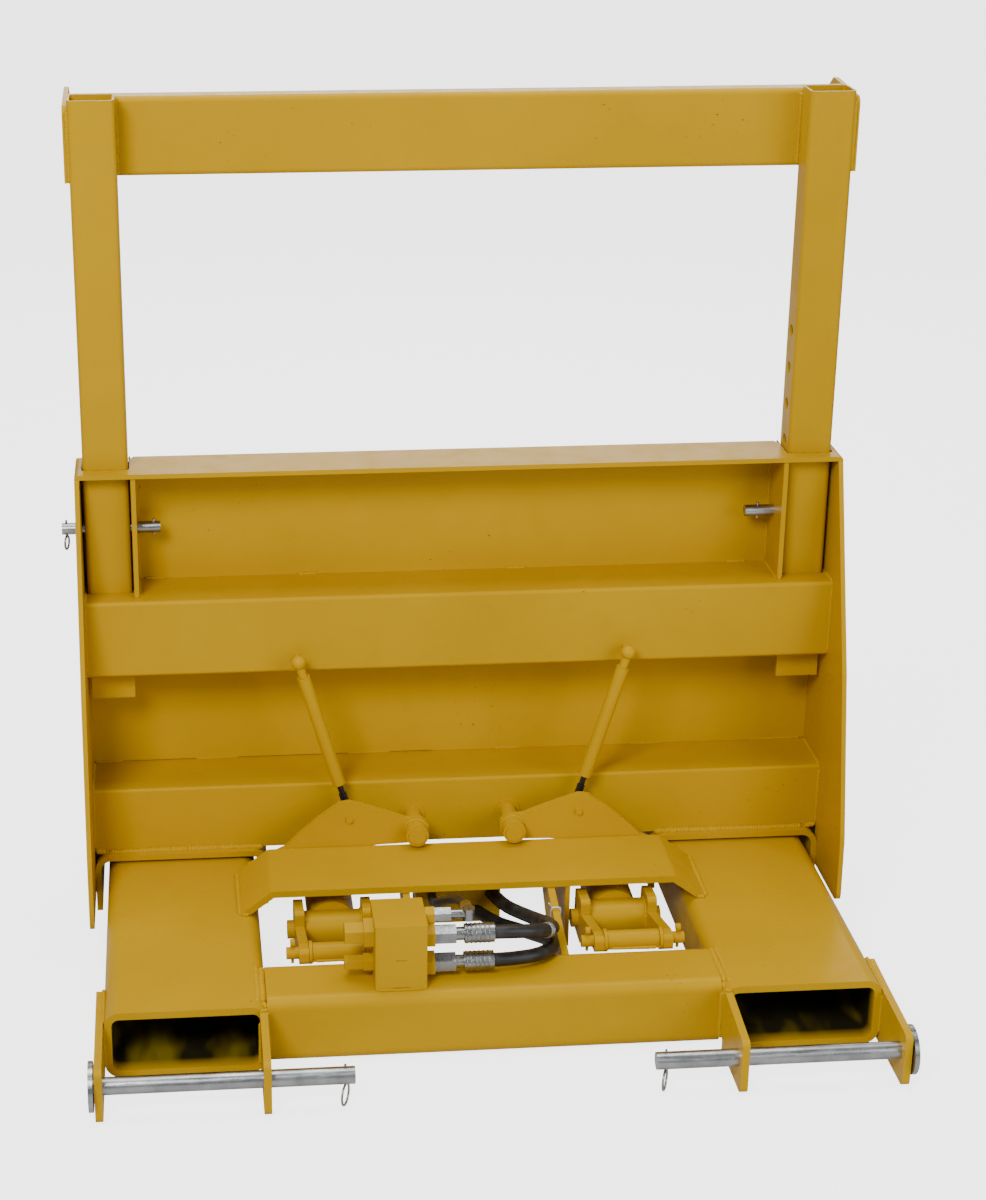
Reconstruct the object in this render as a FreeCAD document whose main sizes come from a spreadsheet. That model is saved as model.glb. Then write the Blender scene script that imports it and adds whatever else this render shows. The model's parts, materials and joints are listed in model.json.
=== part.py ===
"""Fork-mounted hydraulic bin dumper: base with fork pockets, tilting back frame, telescoping hoop.

Axes: X across the truck, +X to the driver's right; Y away from the truck, towards the load; Z up.
The origin lies on the ground, midway between the fork pockets, at their truck-side ends.
"""
import FreeCAD, Part
import math
import os
import re
import Sketcher

doc = FreeCAD.newDocument("bin_dumper")

# ---------------------------------------------------------------- driving dimensions
SIZES = {
    # base
    "pocket_w": 203.2, "pocket_ht": 91.0, "pocket_t": 9.5, "pocket_len": 1200.0, "pocket_ctr": 390.0,
    "pocket_rad": 19.0,
    "cross_y": 14.0, "cross_d": 96.0, "cross_t": 6.4, "cross_rad": 15.0,
    "bridge_y": 237.0, "bridge_d": 123.0, "bridge_t": 9.5, "bridge_top": 125.0,
    "bridge_flat": 272.0, "bridge_foot": 316.0,
    "tie_y": 960.0, "tie_d": 100.0, "tie_t": 12.0,
    "hinge_y": 1228.0, "hinge_z": 46.0, "hinge_od": 56.0, "hinge_pin": 32.0,
    "ear_t": 9.5, "ear_gap": 0.8, "ear_tip_y": 106.0, "ear_low": 1.0, "ear_knee": 74.0, "ear_back": 86.0,
    "heel_y": 85.0, "heel_z": 42.0, "heel_dia": 22.0, "heel_head": 62.0, "heel_in": 186.0,
    # hydraulics on the base
    "valve_x": -119.0, "valve_y": 27.0, "valve_w": 66.0, "valve_d": 75.0, "valve_ht": 90.0,
    "yoke_ctr": 191.5, "yoke_y": 118.0, "yoke_z": 99.0, "yoke_pin": 16.0, "yoke_bush": 25.0,
    "yoke_half": 38.8, "yoke_t": 12.7, "bush_half": 34.0,
    "trunnion_y": 240.0, "trunnion_z": 66.0, "trunnion_od": 48.0,
    "barrel_od": 64.0, "barrel_end": 850.0, "gland_len": 34.0, "rod_dia": 35.0,
    "rod_arm": 100.0, "rod_arm_deg": 158.0, "eye_od": 48.0, "eye_w": 36.0, "lug_t": 12.0,
    "torsion_od": 60.3, "torsion_t": 6.0,
    # tilting frame
    "frame_half": 516.0, "side_t": 6.4, "flange_y": 430.0, "beam_y": 415.0, "channel_y": 413.0,
    "load_y": 512.4, "skin_t": 6.4, "flange_z": 648.0, "beam_low": 365.0, "beam_top": 473.0,
    "channel_top": 197.5, "deck_z": 103.5, "bay_low": 199.0, "side_knee_y": 338.0,
    "side_knee_z": 369.0, "side_foot_y": 288.0, "side_foot_z": 144.0, "side_low": 48.0,
    "tine_t": 8.0, "tine_y": 399.0, "tine_half": 119.4, "tine_low": 20.0, "tine_rad": 22.0,
    "guss_x": 439.2, "guss_y": 433.0,
    # hoop
    "post_w": 60.0, "post_d": 50.8, "post_t": 3.2, "post_x": 475.4, "post_y": 453.0, "post_low": 410.0,
    "post_top": 1134.0, "hole_z": 558.0, "hole_pitch": 50.8, "bar_low": 1028.0, "bar_ht": 101.6,
    "bar_d": 38.1, "pin_dia": 15.9, "pin_len": 132.0,
    # bin latches and their gas springs
    "boss_x": 67.0, "boss_z": 146.0, "latch_y": 361.0, "latch_t": 10.0, "boss_dia": 31.0,
    "shaft_dia": 23.0, "spring_x": 159.0, "spring_z": 166.0, "ball_x": 225.0, "ball_z": 388.0,
    "spring_y": 391.5, "spring_od": 18.0, "spring_rod": 8.0, "spring_body": 190.0,
    "fit": 0.05, "gap": 0.5,
}
sheet = doc.addObject("Spreadsheet::Sheet", "Sizes")
for row, (alias, number) in enumerate(SIZES.items(), start=1):
    sheet.set(f"A{row}", alias)
    sheet.set(f"B{row}", str(number))
    sheet.setAlias(f"B{row}", alias)
doc.recompute()
NAMES = re.compile(r"\b(" + "|".join(sorted(SIZES, key=len, reverse=True)) + r")\b")


def num(text):
    """The number that an expression on the driving dimensions gives now."""
    return float(sheet.evalExpression(str(text)))


def bind(obj, prop, text):
    """Tie a property to an expression on the driving dimensions."""
    obj.setExpression(prop, NAMES.sub(r"Sizes.\1", str(text)))


def place(obj, x, y, z):
    """Bind an object's position."""
    bind(obj, "Placement.Base.x", x)
    bind(obj, "Placement.Base.y", y)
    bind(obj, "Placement.Base.z", z)


# ---------------------------------------------------------------- building blocks
ALONG = {
    "X": FreeCAD.Rotation(FreeCAD.Vector(0, 1, 0), 90),
    "Y": FreeCAD.Rotation(FreeCAD.Vector(1, 0, 0), -90),
    "Z": FreeCAD.Rotation(),
}
NODES = []


def node(obj, name):
    """Name a finished sub-part; its label is its file name."""
    obj.Label = name
    NODES.append(obj)
    return obj


def box(x, y, z, dx, dy, dz):
    """A block from its low corner and its three sides."""
    obj = doc.addObject("Part::Box", "Block")
    bind(obj, "Length", dx)
    bind(obj, "Width", dy)
    bind(obj, "Height", dz)
    place(obj, x, y, z)
    return obj


def rod(axis, x, y, z, dia, length):
    """A round bar that starts at a point and runs along +X, +Y or +Z."""
    obj = doc.addObject("Part::Cylinder", "Round")
    bind(obj, "Radius", f"({dia})/2")
    bind(obj, "Height", length)
    obj.Placement.Rotation = ALONG[axis]
    place(obj, x, y, z)
    return obj


def hexagon(axis, x, y, z, flats, length):
    """A hexagon bar, measured across its flats."""
    obj = doc.addObject("Part::Prism", "Hex")
    obj.Polygon = 6
    bind(obj, "Circumradius", f"({flats})/sqrt(3)")
    bind(obj, "Height", length)
    obj.Placement.Rotation = ALONG[axis]
    place(obj, x, y, z)
    return obj


def fuse(*parts):
    """One solid from overlapping pieces."""
    obj = doc.addObject("Part::MultiFuse", "Fusion")
    obj.Shapes = list(parts)
    obj.Refine = True
    return obj


def group(*parts):
    """Identical loose pieces that share one node."""
    obj = doc.addObject("Part::Compound", "Group")
    obj.Links = list(parts)
    return obj


def cut(base, *tools):
    """A piece less one or more tools."""
    obj = doc.addObject("Part::Cut", "Cut")
    obj.Base = base
    obj.Tool = tools[0] if len(tools) == 1 else fuse(*tools)
    obj.Refine = True
    return obj


def rounded(base, radius, wanted):
    """Fillet the straight edges of a primitive or boolean that the test picks."""
    doc.recompute()
    size = num(radius)
    picked = []
    for index, edge in enumerate(base.Shape.Edges, start=1):
        if wanted(edge):
            picked.append((index, size, size))
    obj = doc.addObject("Part::Fillet", "Fillet")
    obj.Base = base
    obj.Edges = picked
    return obj


def runs_along(axis):
    """A test for straight edges parallel to one axis."""
    def wanted(edge):
        if not isinstance(edge.Curve, Part.Line):
            return False
        way = edge.tangentAt(edge.FirstParameter)
        return abs(abs(getattr(way, axis)) - 1) < 1e-6
    return wanted


PLANES = {"XY": "XY_Plane", "XZ": "XZ_Plane", "YZ": "YZ_Plane"}


def add_loop(sketch, points):
    """A closed polygon, each corner held by its two distances from the axes."""
    corners = [FreeCAD.Vector(num(a), num(b), 0) for a, b in points]
    count = len(corners)
    first = sketch.GeometryCount
    for index in range(count):
        line = Part.LineSegment(corners[index], corners[(index + 1) % count])
        sketch.addGeometry(line, False)
    for index in range(count):
        after = first + (index + 1) % count
        sketch.addConstraint(Sketcher.Constraint("Coincident", first + index, 2, after, 1))
    for index, (a, b) in enumerate(points):
        for kind, text in (("DistanceX", a), ("DistanceY", b)):
            held = Sketcher.Constraint(kind, -1, 1, first + index, 1, num(text))
            at = sketch.addConstraint(held)
            bind(sketch, f"Constraints[{at}]", text)


def add_hole(sketch, a, b, dia):
    """A round hole, held by its centre and its diameter."""
    circle = Part.Circle(FreeCAD.Vector(num(a), num(b), 0), FreeCAD.Vector(0, 0, 1), num(dia) / 2)
    at = sketch.addGeometry(circle, False)
    for kind, text in (("DistanceX", a), ("DistanceY", b)):
        held = sketch.addConstraint(Sketcher.Constraint(kind, -1, 1, at, 3, num(text)))
        bind(sketch, f"Constraints[{held}]", text)
    held = sketch.addConstraint(Sketcher.Constraint("Diameter", at, num(dia)))
    bind(sketch, f"Constraints[{held}]", dia)


def plate(plane, points, offset, thick, holes=(), corners=()):
    """A flat plate: an outline and its holes on an origin plane, padded, with rounded corners.

    offset is the lower face's distance from the plane along +X, +Y or +Z.
    corners lists (radius, [point numbers]).
    """
    body = doc.addObject("PartDesign::Body", "Plate")
    sketch = body.newObject("Sketcher::SketchObject", "Outline")
    origin = [f for f in body.Origin.OriginFeatures if f.Role == PLANES[plane]][0]
    sketch.AttachmentSupport = [(origin, "")]
    sketch.MapMode = "FlatFace"
    # the XZ plane's own normal points along -Y
    flip = "-1*" if plane == "XZ" else ""
    bind(sketch, "AttachmentOffset.Base.z", f"{flip}({offset})")
    add_loop(sketch, points)
    for hole in holes:
        add_hole(sketch, *hole)
    pad = body.newObject("PartDesign::Pad", "Thickness")
    pad.Profile = sketch
    bind(pad, "Length", thick)
    pad.Reversed = plane == "XZ"
    body.Tip = pad
    doc.recompute()
    for radius, which in corners:
        spots = [(num(points[i][0]), num(points[i][1])) for i in which]
        sharp = body.Tip
        names = edge_names(sharp.Shape, plane, spots)
        soft = body.newObject("PartDesign::Fillet", "Rounding")
        soft.Base = (sharp, names)
        bind(soft, "Radius", radius)
        body.Tip = soft
        doc.recompute()
    return body


def edge_names(shape, plane, spots):
    """Names of the edges through the thickness that stand on the given outline corners."""
    across = {"XY": "z", "XZ": "y", "YZ": "x"}[plane]
    names = []
    for index, edge in enumerate(shape.Edges, start=1):
        if not runs_along(across)(edge):
            continue
        at = edge.valueAt(edge.FirstParameter)
        flat = {"XY": (at.x, at.y), "XZ": (at.x, at.z), "YZ": (at.y, at.z)}[plane]
        for spot in spots:
            if math.dist(flat, spot) < 0.01:
                names.append(f"Edge{index}")
    return names


def square_tube(axis, x, y, z, dx, dy, dz, wall, radius):
    """A rectangular tube open at both ends, with rounded outer and inner corners."""
    outer = rounded(box(x, y, z, dx, dy, dz), radius, runs_along(axis))
    low = {"x": f"({x})+({wall})", "y": f"({y})+({wall})", "z": f"({z})+({wall})"}
    span = {"x": f"({dx})-2*({wall})", "y": f"({dy})-2*({wall})", "z": f"({dz})-2*({wall})"}
    full = {"x": (x, dx), "y": (y, dy), "z": (z, dz)}[axis]
    low[axis] = f"({full[0]})-1"
    span[axis] = f"({full[1]})+2"
    bore = box(low["x"], low["y"], low["z"], span["x"], span["y"], span["z"])
    inner = rounded(bore, f"({radius})-({wall})", runs_along(axis))
    return cut(outer, inner)


def signed(side, text):
    """The expression on the right side, its negative on the left."""
    return f"{side}*({text})"


SIDES = (("left", -1), ("right", 1))
POCKET_IN = "(pocket_ctr-pocket_w/2)"
POCKET_OUT = "(pocket_ctr+pocket_w/2)"


# ---------------------------------------------------------------- base
def fork_pocket(name, side):
    """Rectangular tube that a truck's fork blade slides into.

    Its four flat walls and eight slices of rounded corner are solids that meet face to face, so
    that each one's collision hull stays clear of the opening.
    """
    low = f"{side}*pocket_ctr-pocket_w/2"
    flat_w = "pocket_w-2*pocket_rad"
    flat_ht = "pocket_ht-2*pocket_rad"
    parts = [
        box(f"{low}+pocket_rad", 0, 0, flat_w, "pocket_len", "pocket_t"),
        box(f"{low}+pocket_rad", 0, "pocket_ht-pocket_t", flat_w, "pocket_len", "pocket_t"),
        box(low, 0, "pocket_rad", "pocket_t", "pocket_len", flat_ht),
        box(f"{low}+pocket_w-pocket_t", 0, "pocket_rad", "pocket_t", "pocket_len", flat_ht),
    ]
    slices = 8
    for number in range(slices):
        at_right = number in (0, 1, 6, 7)
        at_bottom = number < 4
        x = f"{low}+" + ("pocket_w-pocket_rad" if at_right else "pocket_rad")
        z = "pocket_rad" if at_bottom else "pocket_ht-pocket_rad"
        sector = rod("Y", x, 0, z, "2*pocket_rad", "pocket_len")
        sector.Angle = 360 / slices
        spin = FreeCAD.Rotation(FreeCAD.Vector(0, 0, 1), number * 360 / slices)
        sector.Placement.Rotation = ALONG["Y"] * spin
        bore = rod("Y", x, -1, z, "2*(pocket_rad-pocket_t)", "pocket_len+2")
        parts.append(cut(sector, bore))
    return node(group(*parts), f"{name}_fork_pocket")


def cross_tube():
    """Square tube across the truck-side ends of the pockets."""
    tube = square_tube("x", f"-{POCKET_IN}", "cross_y", 0, f"2*{POCKET_IN}", "cross_d", "pocket_ht",
                       "cross_t", "cross_rad")
    return node(tube, "cross_tube")


def bridge_plate():
    """Bent plate that spans the pockets, its ends folded down on to their tops."""
    under = "(bridge_top-bridge_t)"
    outline = [
        ("-bridge_flat", "bridge_top"), ("bridge_flat", "bridge_top"),
        ("bridge_foot", "pocket_ht"), ("bridge_foot-1.5*bridge_t", "pocket_ht"),
        ("bridge_flat-bridge_t/3", under), ("-(bridge_flat-bridge_t/3)", under),
        ("-(bridge_foot-1.5*bridge_t)", "pocket_ht"), ("-bridge_foot", "pocket_ht"),
    ]
    body = plate("XZ", outline, "bridge_y", "bridge_d", corners=[("bridge_t", [0, 1])])
    return node(body, "bridge_plate")


def tie_bar():
    """Flat bar low down between the pockets, near the hinge."""
    bar = box(f"-{POCKET_IN}", "tie_y", 0, f"2*{POCKET_IN}", "tie_d", "tie_t")
    return node(bar, "front_tie_bar")


def hinge_blocks():
    """A drilled round-nosed block welded across the far end of each pocket."""
    blocks = []
    for _, side in SIDES:
        low = f"{side}*pocket_ctr-pocket_w/2"
        back = box(low, "pocket_len", "hinge_z-hinge_od/2", "pocket_w", "hinge_y-pocket_len", "hinge_od")
        nose = rod("X", low, "hinge_y", "hinge_z", "hinge_od", "pocket_w")
        bore = rod("X", f"{low}-1", "hinge_y", "hinge_z", "hinge_pin+2*fit", "pocket_w+2")
        blocks.append(cut(fuse(back, nose), bore))
    return node(group(*blocks), "hinge_blocks")


def hinge_pins():
    """Headed pins on which the tilting frame turns."""
    pins = []
    length = "(2*tine_half+14)"
    for _, side in SIDES:
        low = f"{side}*pocket_ctr-{length}/2"
        shank = rod("X", low, "hinge_y", "hinge_z", "hinge_pin", length)
        head_x = f"{side}*(pocket_ctr+{length}/2)-3"
        head = rod("X", head_x, "hinge_y", "hinge_z", "hinge_pin+14", 6)
        end_x = f"{side}*(pocket_ctr-{length}/2)-2"
        end = rod("X", end_x, "hinge_y", "hinge_z", "hinge_pin+10", 4)
        pins.append(fuse(shank, head, end))
    return node(group(*pins), "hinge_pins")


def heel_ears(name, side):
    """Pair of plates that stand out towards the truck and carry the heel pin."""
    hole = ("-heel_y", "heel_z", "heel_dia+2*fit")
    inner = plate(
        "YZ", [("0", "ear_back"), ("-ear_tip_y", "ear_knee"), ("-ear_tip_y", "ear_low"), ("0", "ear_low")],
        f"{side}*({POCKET_IN}+ear_t/2)-ear_t/2", "ear_t", holes=[hole], corners=[("9", [1, 2])])
    outer = plate(
        "YZ", [("80", "pocket_ht-10"), ("20", "ear_knee+4"), ("-ear_tip_y", "ear_knee"),
               ("-ear_tip_y", "ear_low"), ("80", "ear_low")],
        f"{side}*({POCKET_OUT}+ear_gap+ear_t/2)-ear_t/2", "ear_t", holes=[hole],
        corners=[("9", [0, 2, 3, 4])])
    return node(group(inner, outer), f"{name}_heel_ears")


def ring_clip(x, y, z, hole_dia, drop, turn):
    """Wire ring whose straight leg passes down through a pin; x, y, z is the pin's centre.

    turn is the ring's angle about the leg, from square across the pin.
    """
    wire = 3.0
    ring = doc.addObject("Part::Torus", "Ring")
    bind(ring, "Radius1", f"({drop})/2")
    bind(ring, "Radius2", wire / 2)
    ring.Placement.Rotation = FreeCAD.Rotation(FreeCAD.Vector(0, 0, 1), turn) * ALONG["Y"]
    place(ring, x, y, f"({z})-({hole_dia})/2-({drop})/2-2.5")
    leg = rod("Z", x, y, f"({z})-({hole_dia})/2-2.5", wire, f"({hole_dia})+7")
    return fuse(ring, leg)


def heel_pin(name, side):
    """Zinc pin behind the fork's shank, with a flat round head outside its outer ear."""
    length = f"({POCKET_OUT}+ear_gap+ear_t+2-heel_in)"
    low = "heel_in" if side > 0 else f"-(heel_in+{length})"
    shank = rod("X", low, "-heel_y", "heel_z", "heel_dia", length)
    head_x = f"{side}*(heel_in+{length}+2.5)-3"
    head = rod("X", head_x, "-heel_y", "heel_z", "heel_head", 6)
    clip_x = f"{side}*(heel_in+12)"
    drilled = rod("Z", clip_x, "-heel_y", "heel_z-heel_dia", "3.2", "2*heel_dia")
    node(cut(fuse(shank, head), drilled), f"{name}_heel_pin")
    node(ring_clip(clip_x, "-heel_y", "heel_z", "heel_dia", 27, 68), f"{name}_heel_clip")


# ---------------------------------------------------------------- hydraulics on the base
VALVE_LOW = "(valve_x-valve_w/2)"
VALVE_RIGHT = "(valve_x+valve_w/2)"
PORTS = (("valve_y+35", "pocket_ht+58"), ("valve_y+35", "pocket_ht+18"))
ELBOW = (-30, 70, 173)
HOSE_DIA = 18.0
DIVIDER_Y = 306
SOCKET_RING_X = "-531"


def valve_block():
    """Drilled steel block on the cross tube, with two shallow slots in its face."""
    block = box(VALVE_LOW, "valve_y", "pocket_ht", "valve_w", "valve_d", "valve_ht")
    slots = [box(f"valve_x-{wide}/2", "valve_y-1", f"pocket_ht+{up}", wide, 2, 2)
             for up, wide in ((41, 14), (2, 22))]
    return node(cut(rounded(block, "2", runs_along("z")), *slots), "valve_block")


def valve_caps():
    """Relief valve cap and plug on the block's left face."""
    parts = []
    for up, flats, wide in ((62, 26, 36), (20, 18, 22)):
        collar = hexagon("X", f"{VALVE_LOW}-12", "valve_y+40", f"pocket_ht+{up}", wide, 12)
        cap = hexagon("X", f"{VALVE_LOW}-36", "valve_y+40", f"pocket_ht+{up}", flats, 25)
        parts.append(fuse(collar, cap))
    return node(group(*parts), "valve_caps")


def hose_fittings():
    """Nut and ferrule of each hose, on adapters that are painted with the block."""
    parts = []
    adapters = []
    for y, z in PORTS:
        adapters.append(hexagon("X", VALVE_RIGHT, y, z, 30, 12))
        nut = hexagon("X", f"{VALVE_RIGHT}+12", y, z, 24, 27)
        neck = rod("X", f"{VALVE_RIGHT}+38", y, z, 17, 14)
        ferrule = rod("X", f"{VALVE_RIGHT}+50", y, z, 25, 38)
        bore = rod("X", f"{VALVE_RIGHT}+60", y, z, HOSE_DIA + 0.2, 40)
        parts.append(cut(fuse(nut, neck, ferrule), bore))
    x, y, z = ELBOW
    adapters.append(hexagon("X", VALVE_RIGHT, y, z, 20, 12))
    node(group(*adapters), "port_adapters")
    small_nut = hexagon("X", f"{VALVE_RIGHT}+12", y, z, 17, 21)
    stem = rod("X", f"{VALVE_RIGHT}+32", y, z, 12, f"{x}-({VALVE_RIGHT}+32)")
    knee = rod("Z", x, y, z - 8, 16, 16)
    sleeve = sloped_rod(x, (y, z), (y + 40, z - 8), 15, 34)
    parts.append(fuse(small_nut, stem, knee, sleeve))
    return node(group(*parts), "hose_fittings")


def tube_path(points):
    """Straight runs joined by tangent arcs, as wide as the shorter run allows."""
    spots = [FreeCAD.Vector(*p) for p in points]
    edges = []
    radii = []
    start = spots[0]
    for before, here, after in zip(spots, spots[1:], spots[2:]):
        into = (here - before).normalize()
        out = (after - here).normalize()
        turn = into.getAngle(out)
        back = 0.45 * min((here - before).Length, (after - here).Length)
        radii.append(back / math.tan(turn / 2))
        enter = here - into * back
        leave = here + out * back
        middle = here + (out - into).normalize() * (radii[-1] / math.cos(turn / 2) - radii[-1])
        edges.append(Part.LineSegment(start, enter).toShape())
        edges.append(Part.Arc(enter, middle, leave).toShape())
        start = leave
    edges.append(Part.LineSegment(start, spots[-1]).toShape())
    return Part.Wire(edges), radii


def hose(name, points, dia):
    """A hose swept along its route and trimmed square at the flow divider's face."""
    path, radii = tube_path(points)
    way = FreeCAD.Vector(*points[1]) - FreeCAD.Vector(*points[0])
    ring = Part.Wire(Part.Circle(FreeCAD.Vector(*points[0]), way, dia / 2).toShape())
    solid = path.makePipeShell([ring], True, False)
    expected = math.pi * dia ** 2 / 4 * path.Length
    print(f"{name}: length {path.Length:.0f}, smallest radius {min(radii):.0f},"
          f" volume over expected {solid.Volume / expected:.4f}")
    corner = FreeCAD.Vector(-100, DIVIDER_Y, 0)
    obj = doc.addObject("Part::Feature", "Hose")
    obj.Shape = solid.cut(Part.makeBox(200, 60, 100, corner))
    obj.Placement = FreeCAD.Placement()
    return node(obj, name)


def hoses():
    """Pressure, return and pilot hoses from the valve block to the divider under the bridge."""
    start = num(f"{VALVE_RIGHT}+60")
    y = num(PORTS[0][0])
    high = num(PORTS[0][1])
    low = num(PORTS[1][1])
    hose("pressure_hose", [
        (start, y, high), (20, y, high), (62, 73, 142), (87, 107, 125), (86, 150, 109), (66, 206, 91),
        (44, 258, 78), (30, DIVIDER_Y + 8, 72)], HOSE_DIA)
    hose("return_hose", [
        (start, y, low), (20, y, low), (62, 73, 107), (88, 106, 100), (86, 150, 86), (62, 208, 67),
        (32, 260, 52), (6, DIVIDER_Y + 8, 46)], HOSE_DIA)
    x, y, z = ELBOW
    hose("pilot_hose", [
        (x, y + 35, z - 7.4), (x - 4, 140, 156), (x - 16, 180, 134), (x - 24, 220, 108), (x - 24, 262, 86),
        (x - 20, DIVIDER_Y + 8, 74)], 12.0)


def flow_divider():
    """Block that splits the oil between the two lift cylinders, hung under the bridge plate."""
    block = box(-72, DIVIDER_Y, 30, 116, 50, 62)
    hanger = box(-30, DIVIDER_Y + 8, 90, 40, 36, "bridge_top-bridge_t-90")
    return node(fuse(block, hanger), "flow_divider")


def stiffeners():
    """Upright plates between the cross tube and the bridge plate, and a shield beside the hoses."""
    parts = []
    outline = [("cross_y+cross_d", "12"), ("cross_y+cross_d", "pocket_ht-6"),
               ("bridge_y+8", "bridge_top-bridge_t"), ("bridge_y+46", "bridge_top-bridge_t"),
               ("bridge_y+46", "92"), ("cross_y+cross_d+60", "12")]
    for x in ("-97", "98"):
        parts.append(plate("YZ", outline, x, "9.5"))
    shield = [("bridge_y+2", "24"), ("bridge_y+2", "bridge_top-bridge_t"),
              ("bridge_y+bridge_d-4", "bridge_top-bridge_t"), ("bridge_y+bridge_d-4", "24")]
    parts.append(plate("YZ", shield, "123", "6"))
    return node(group(*parts), "stiffeners")


# ---------------------------------------------------------------- lift cylinders
def yoke_pivots():
    """Bushes on the cross tube and the pins, washers and cotters that hold the yokes."""
    bushes = []
    pins = []
    loose = []
    for _, side in SIDES:
        centre = f"{side}*yoke_ctr"
        barrel = rod("X", f"{centre}-bush_half", "yoke_y", "yoke_z", "yoke_bush", "2*bush_half")
        bore = rod("X", f"{centre}-bush_half-1", "yoke_y", "yoke_z", "yoke_pin+2*fit", "2*bush_half+2")
        seat = box(f"{centre}-bush_half", "yoke_y-12", "pocket_ht", "2*bush_half", 16, 6)
        bushes.append(cut(fuse(barrel, seat), bore))
        reach = "(yoke_half+yoke_t+16)"
        shank = rod("X", f"{centre}-{reach}", "yoke_y", "yoke_z", "yoke_pin", f"2*{reach}")
        holes = []
        for end in (-1, 1):
            at = f"{centre}+({end})*(yoke_half+yoke_t+8)"
            holes.append(rod("Z", at, "yoke_y", "yoke_z-yoke_pin", "4.2", "2*yoke_pin"))
            stem = rod("Z", at, "yoke_y", "yoke_z-14", 4, 30)
            loop = rod("X", f"{at}-3", "yoke_y", "yoke_z+15", 10, 6)
            loose.append(fuse(stem, loop))
            washer_x = f"{centre}+({end})*(bush_half+yoke_half)/2-2"
            disc = rod("X", washer_x, "yoke_y", "yoke_z", 30, 4)
            eye = rod("X", f"{washer_x}-1", "yoke_y", "yoke_z", "yoke_pin+2*fit", 6)
            loose.append(cut(disc, eye))
        pins.append(cut(shank, *holes))
    node(group(*bushes), "yoke_bushes")
    node(group(*pins), "yoke_pins")
    node(group(*loose), "yoke_washers_and_cotters")


def rod_point():
    """Where the rod eye sits at rest, in the YZ plane."""
    turn = math.radians(num("rod_arm_deg"))
    arm = num("rod_arm")
    return num("hinge_y") + arm * math.cos(turn), num("hinge_z") + arm * math.sin(turn)


def sloped_rod(x, start, end, dia, length):
    """A round bar in a plane of constant X, from start towards end, both (y, z)."""
    obj = doc.addObject("Part::Cylinder", "Sloped")
    bind(obj, "Radius", f"({dia})/2")
    bind(obj, "Height", length)
    way = FreeCAD.Vector(0, end[0] - start[0], end[1] - start[1])
    obj.Placement.Rotation = FreeCAD.Rotation(FreeCAD.Vector(0, 0, 1), way)
    place(obj, x, start[0], start[1])
    return obj


def lift_cylinder(name, side):
    """Yoke, barrel, gland and rod of one hydraulic cylinder."""
    centre = f"{side}*yoke_ctr"
    tail = (num("trunnion_y"), num("trunnion_z"))
    eye = rod_point()
    span = math.dist(tail, eye)
    way = ((eye[0] - tail[0]) / span, (eye[1] - tail[1]) / span)
    outline = [("yoke_y-14", "yoke_z+10"), ("yoke_y+6", "yoke_z+10"), ("trunnion_y-26", "trunnion_z+18"),
               ("trunnion_y-26", "trunnion_z+39"), ("trunnion_y+22", "trunnion_z+35"),
               ("trunnion_y+26", "trunnion_z-24"), ("trunnion_y-22", "trunnion_z-26"),
               ("yoke_y+4", "yoke_z-12"), ("yoke_y-14", "yoke_z-12")]
    arms = []
    for end in (-1, 1):
        low = f"{centre}+({end})*(yoke_half+yoke_t/2)-yoke_t/2"
        arms.append(plate("YZ", outline, low, "yoke_t", holes=[("yoke_y", "yoke_z", "yoke_pin+2*fit")],
                          corners=[("7", [0, 8, 3, 4, 5, 6])]))
    trunnion = rod("X", f"{centre}-yoke_half", "trunnion_y", "trunnion_z", "trunnion_od", "2*yoke_half")
    reach = "(yoke_half+yoke_t+9)"
    stub = rod("X", f"{centre}-{reach}", "trunnion_y", "trunnion_z", 25, f"2*{reach}")
    node(fuse(arms[0], arms[1], trunnion, stub), f"{name}_yoke")

    reach = num("barrel_end") - tail[0]
    shell = sloped_rod(centre, along(tail, way, 12), eye, "barrel_od", reach - 12)
    bore = sloped_rod(centre, along(tail, way, 40), eye, "barrel_od-14", reach)
    seat = rod("X", f"{centre}-yoke_half", "trunnion_y", "trunnion_z", "trunnion_od", "2*yoke_half")
    node(cut(shell, bore, seat), f"{name}_cylinder_barrel")

    mouth = along(tail, way, reach)
    collar = sloped_rod(centre, mouth, eye, "barrel_od+8", "gland_len")
    plug = sloped_rod(centre, along(mouth, way, -30), eye, "barrel_od-14", 31)
    hole = sloped_rod(centre, along(mouth, way, -40), eye, "rod_dia+2*fit", 90)
    node(cut(fuse(collar, plug), hole), f"{name}_cylinder_gland")

    inside = along(tail, way, reach - 240)
    shaft = sloped_rod(centre, inside, eye, "rod_dia", span - (reach - 240) - 14)
    piston = sloped_rod(centre, along(inside, way, -36), eye, "barrel_od-14.2", 36)
    eye_body = rod("X", f"{centre}-eye_w/2", eye[0], eye[1], "eye_od", "eye_w")
    node(fuse(shaft, piston, eye_body), f"{name}_cylinder_rod")


def along(start, way, distance):
    """A point some distance from start along a unit direction."""
    return start[0] + way[0] * distance, start[1] + way[1] * distance


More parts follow.
